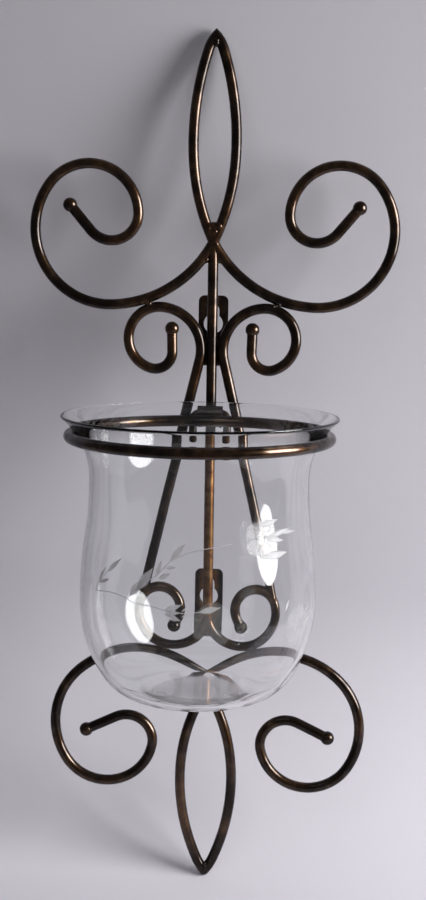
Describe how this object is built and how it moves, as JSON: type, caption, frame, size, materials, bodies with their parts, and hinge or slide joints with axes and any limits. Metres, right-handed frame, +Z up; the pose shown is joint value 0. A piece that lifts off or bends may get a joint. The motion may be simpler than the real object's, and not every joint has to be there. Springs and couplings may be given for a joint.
{
  "type": "votive wall sconce",
  "caption": "Wall sconce of bent bronze rod scrolls and leaves, with a hook-on ring that holds a flared, leaf-etched clear glass bell for a votive candle.",
  "frame": {"origin": "on the wall, midway between the two keyholes", "axes": "+Z up, +Y into the wall, so the bell stands out towards -Y, and +X to the right as seen from the room"},
  "size_m": [0.2462, 0.1905, 0.5795],
  "materials": {
    "dark_bronze": "dark oil-rubbed bronze, satin, rubbed through to copper in places",
    "clear_glass": "clear blown glass, etched with a leafy vine"
  },
  "bodies": {
    "frame": {"centre_rod": "dark_bronze", "hook_rail": "dark_bronze", "upper_hanger_strap": "dark_bronze", "lower_hanger_strap": "dark_bronze", "top_leaf_left": "dark_bronze", "top_leaf_right": "dark_bronze", "upper_scroll_left": "dark_bronze", "upper_scroll_right": "dark_bronze", "upper_scroll_ball_left": "dark_bronze", "upper_scroll_ball_right": "dark_bronze", "side_stem_left": "dark_bronze", "side_stem_right": "dark_bronze", "side_stem_ball_left": "dark_bronze", "side_stem_ball_right": "dark_bronze", "lower_curl_left": "dark_bronze", "lower_curl_right": "dark_bronze", "lower_curl_ball_left": "dark_bronze", "lower_curl_ball_right": "dark_bronze", "lower_scroll_left": "dark_bronze", "lower_scroll_right": "dark_bronze", "lower_scroll_ball_left": "dark_bronze", "lower_scroll_ball_right": "dark_bronze", "bottom_leaf_left": "dark_bronze", "bottom_leaf_right": "dark_bronze"},
    "ring_holder": {"ring": "dark_bronze", "ring_hook": "dark_bronze"},
    "glass": {"glass_bell": "clear_glass"}
  },
  "joints": [
    {"name": "ring_lift", "type": "slide", "parent": "frame", "child": "ring_holder", "axis": [0, 0, 1], "range_m": [0, 0.01]},
    {"name": "glass_lift", "type": "slide", "parent": "ring_holder", "child": "glass", "axis": [0, 0, 1], "range_m": [0, 0.2]}
  ]
}
